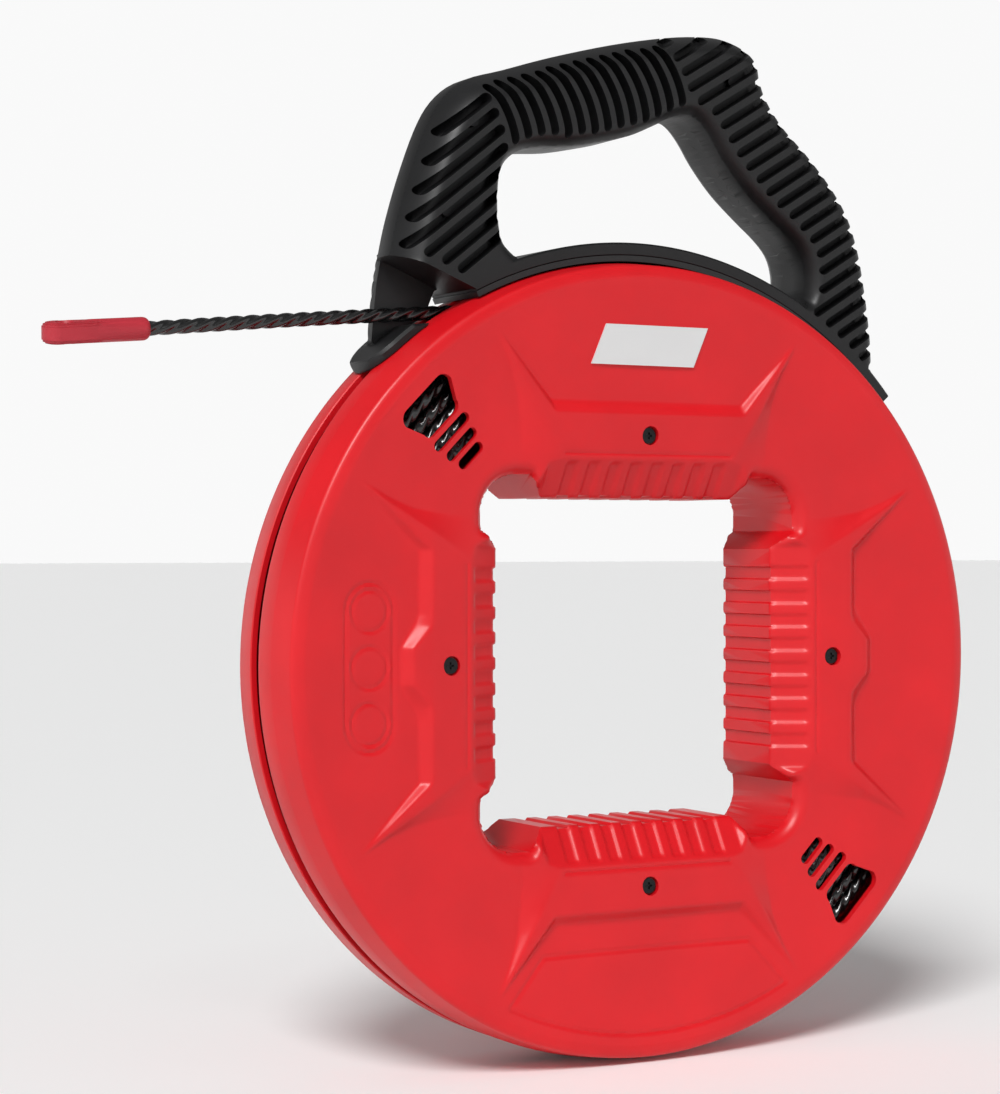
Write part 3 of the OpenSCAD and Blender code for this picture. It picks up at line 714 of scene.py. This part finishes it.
grip_front = grip_half("grip_front")
grip_back = bpy.data.objects.new("grip_back", grip_front.data.copy())
bpy.context.scene.collection.objects.link(grip_back)
grip_back.data.transform(Matrix.Scale(-1, 4, (0, 1, 0)))
grip_back.data.flip_normals()
tenon = [(BAND_R - 1, -2), (BAND_R + 3, -2), (BAND_R + 3, 2), (BAND_R - 1, 2)]
combine(grip_front, lathe(tenon, 46, 112, 1.0))
combine(grip_back, lathe(tenon, 46, 112, 1.0))
dress(grip_front, "handle", grip_plastic, "handle_black", "handle_front", sharp=40)

# back half: screw posts, the web behind the tape and the shoe on the rim
for p in SCREWS:
    combine(grip_back, cylinder(*p, SCREW_POST_D, 3, HALF_W - 0.9), operation="UNION")
WEB_FRONT, SHOE_FRONT, SHOE_T, TOE_R, TOE_END = 6.6, -11.0, 3.6, 14.7, 135.3
TAPE_CLEAR = 1.55
web_left = [(-95, 172), (-103, 160), (-105, 149), (-106.2, 138.6), (-107.3, 126)]
web = [*web_left, *arc(RAIL_R + 0.1, 130.5, 121.5, 9), *arc(167, 118.5, 115.5, 4), (-72, 158)]
xs, zs = np.arange(-112, -60, 0.8), np.arange(114, 178, 0.8)
x, z = np.meshgrid(xs, zs, indexing="ij")
web_back = HALF_W - 0.6 - roll(distance(x, z, web_left, False), 9, 8)
guide = combine(height_block(xs, zs, web_back, 0.0), prism(web, WEB_FRONT, 40), operation="INTERSECT")
combine(grip_back, guide, operation="UNION")


def shoe_section(degrees):
    """Section of the shoe: it starts as a ramp under the tape and ends in a rounded toe."""
    left = max(math.radians(TOE_END - degrees) * RAIL_R, 0)
    half = TOE_R * math.sqrt(max(1 - (1 - min(left / TOE_R, 1)) ** 2, 0.003))
    ramp = (LEAD_H - TAPE_D / 2 - TAPE_CLEAR) / math.cos(math.radians(degrees - 90) - LEAD_ANGLE) - RAIL_R
    t = max(min(ramp, SHOE_T, 0.6 + left), 0.3)
    mid, soft = SHOE_FRONT + TOE_R, min(1.2, half / 2, t / 2)
    return [(RAIL_R, mid - half), (RAIL_R + t - soft, mid - half), (RAIL_R + t, mid - half + soft),
            (RAIL_R + t, mid + half - soft), (RAIL_R + t - soft, mid + half), (RAIL_R, mid + half)]


shoe_angles = np.linspace(124.6, TOE_END, 50)
shoe_points = [(r * math.cos(math.radians(a)), y, r * math.sin(math.radians(a)))
               for a in shoe_angles for r, y in shoe_section(a)]
shoe = mesh("tool", shoe_points, ring_faces(len(shoe_angles), len(shoe_section(TOE_END))))
combine(grip_back, shoe, operation="UNION")
for p in SCREWS:
    combine(grip_back, cylinder(*p, SCREW_HOLE_D, 11, 30))
dress(grip_back, "handle", grip_plastic, "handle_black", "handle_back", sharp=40)


# ---------- carried-over frame pieces ----------

for name, material in (
    ("slide_rail", rail_plastic), ("tape_anchor", plain_steel), ("tape_anchor_screw", plain_steel),
    ("blank_badge", white_print),
    *((f"case_screw_{side}", black_metal) for side in ("top", "right", "bottom", "left")),
    *((f"handle_screw_{i}", black_metal) for i in range(1, 7)),
):
    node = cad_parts[name]
    node.data.materials.clear()
    node.data.materials.append(material)


# ---------- studio ----------

def paper(name, shade):
    """A matt grey of one shade."""
    material = bpy.data.materials.new(name)
    material.use_nodes = True
    shader = material.node_tree.nodes["Principled BSDF"]
    shader.inputs["Base Color"].default_value = (shade, shade, shade, 1)
    shader.inputs["Roughness"].default_value = 0.9
    return material


FLOOR_Z, FLOOR_HALF = -160.5, 30000
floor_corners = [(x * FLOOR_HALF, y * FLOOR_HALF, FLOOR_Z) for x, y in ((-1, -1), (1, -1), (1, 1), (-1, 1))]
floor = mesh("floor", floor_corners, [(0, 1, 2, 3)])
floor.data.materials.append(paper("pale_paper", 0.93))

world = bpy.data.worlds.new("studio")
bpy.context.scene.world = world
world.use_nodes = True
# white round the horizon, greyer overhead
sky, links = world.node_tree.nodes, world.node_tree.links
split = sky.new("ShaderNodeSeparateXYZ")
links.new(sky.new("ShaderNodeTexCoord").outputs["Generated"], split.inputs["Vector"])
fade = sky.new("ShaderNodeValToRGB")
fade.color_ramp.elements[0].position, fade.color_ramp.elements[1].position = 0.22, 0.33
fade.color_ramp.elements[0].color, fade.color_ramp.elements[1].color = (1, 1, 1, 1), (0.25, 0.25, 0.25, 1)
links.new(split.outputs["Z"], fade.inputs["Fac"])
links.new(fade.outputs["Color"], sky["Background"].inputs["Color"])
sky["Background"].inputs["Strength"].default_value = 0.95
bpy.context.scene.view_settings.view_transform = "Standard"


LAMP_AIM = Vector((0, 0, 0.03))


def lamp(name, place, size, watts):
    """A soft square light that faces the middle of the reel."""
    light = bpy.data.lights.new(name, "AREA")
    light.size, light.energy = size, watts
    obj = bpy.data.objects.new(name, light)
    bpy.context.scene.collection.objects.link(obj)
    obj.location = place
    obj.rotation_euler = (LAMP_AIM - Vector(place)).to_track_quat("-Z", "Y").to_euler()


sun = bpy.data.lights.new("key", "SUN")
sun.energy, sun.angle = 2.6, math.radians(20)
sun_object = bpy.data.objects.new("key", sun)
bpy.context.scene.collection.objects.link(sun_object)
sun_object.rotation_euler = Vector((0.52, 0.62, -0.78)).to_track_quat("-Z", "Y").to_euler()
lamp("side_light", (-1.3, -0.5, 0.7), 0.6, 2)
